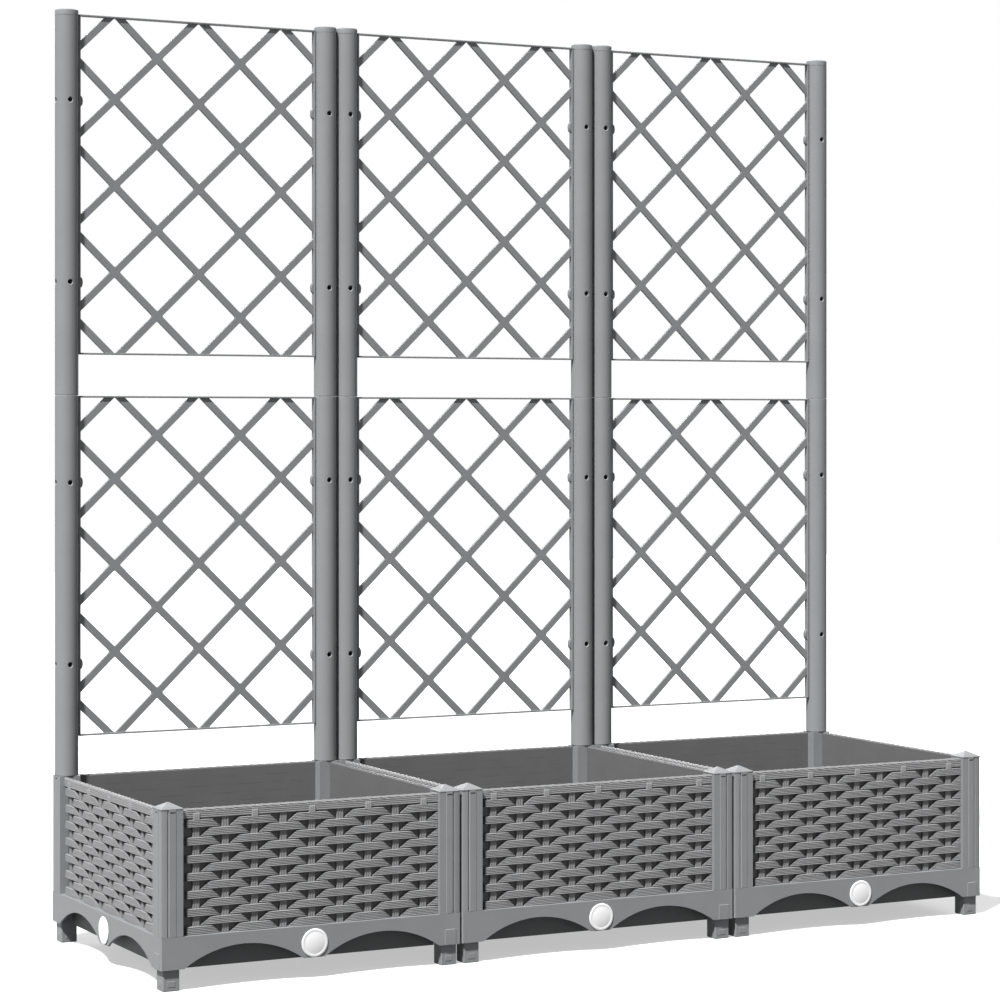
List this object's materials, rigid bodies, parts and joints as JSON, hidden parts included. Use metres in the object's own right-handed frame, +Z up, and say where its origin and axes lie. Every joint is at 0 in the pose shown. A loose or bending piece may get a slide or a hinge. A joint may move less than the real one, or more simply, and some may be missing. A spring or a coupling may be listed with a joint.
{
  "type": "planter with trellis",
  "caption": "Row of joined square woven-look plastic planter boxes on corner feet, with round posts at the rear carrying two tiers of diagonal lattice panels.",
  "frame": {"origin": "on the ground under the middle of the row of boxes", "axes": "+Z up, +X along the row to the right as seen from the front, +Y from the front to the trellis side"},
  "size_m": [1.2002, 0.4002, 1.215],
  "materials": {
    "woven_grey": "moulded woven texture, matt",
    "smooth_grey": "smooth moulded, satin",
    "tray_grey": "smooth moulded, matt",
    "white_plug": "smooth, satin"
  },
  "bodies": {
    "root": {"left_wall_front": "woven_grey", "left_wall_right": "woven_grey", "left_wall_rear": "woven_grey", "left_wall_left": "woven_grey", "left_pillar_front_left": "smooth_grey", "left_pillar_front_right": "smooth_grey", "left_pillar_rear_right": "smooth_grey", "left_pillar_rear_left": "smooth_grey", "left_base_frame": "smooth_grey", "left_floor_tray": "tray_grey", "left_lattice_upper": "smooth_grey", "left_post_left_upper": "smooth_grey", "left_post_right_upper": "smooth_grey", "left_lattice_lower": "smooth_grey", "left_post_left_lower": "smooth_grey", "left_post_right_lower": "smooth_grey", "middle_wall_front": "woven_grey", "middle_wall_right": "woven_grey", "middle_wall_rear": "woven_grey", "middle_wall_left": "woven_grey", "middle_pillar_front_left": "smooth_grey", "middle_pillar_front_right": "smooth_grey", "middle_pillar_rear_right": "smooth_grey", "middle_pillar_rear_left": "smooth_grey", "middle_base_frame": "smooth_grey", "middle_floor_tray": "tray_grey", "middle_lattice_upper": "smooth_grey", "middle_post_left_upper": "smooth_grey", "middle_post_right_upper": "smooth_grey", "middle_lattice_lower": "smooth_grey", "middle_post_left_lower": "smooth_grey", "middle_post_right_lower": "smooth_grey", "right_wall_front": "woven_grey", "right_wall_right": "woven_grey", "right_wall_rear": "woven_grey", "right_wall_left": "woven_grey", "right_pillar_front_left": "smooth_grey", "right_pillar_front_right": "smooth_grey", "right_pillar_rear_right": "smooth_grey", "right_pillar_rear_left": "smooth_grey", "right_base_frame": "smooth_grey", "right_floor_tray": "tray_grey", "right_lattice_upper": "smooth_grey", "right_post_left_upper": "smooth_grey", "right_post_right_upper": "smooth_grey", "right_lattice_lower": "smooth_grey", "right_post_left_lower": "smooth_grey", "right_post_right_lower": "smooth_grey", "left_plug_front": "white_plug", "left_plug_rear": "white_plug", "middle_plug_front": "white_plug", "middle_plug_rear": "white_plug", "right_plug_front": "white_plug", "right_plug_rear": "white_plug", "left_plug_left": "white_plug", "right_plug_right": "white_plug", "link_left_middle": "tray_grey", "link_middle_right": "tray_grey"}
  },
  "joints": []
}
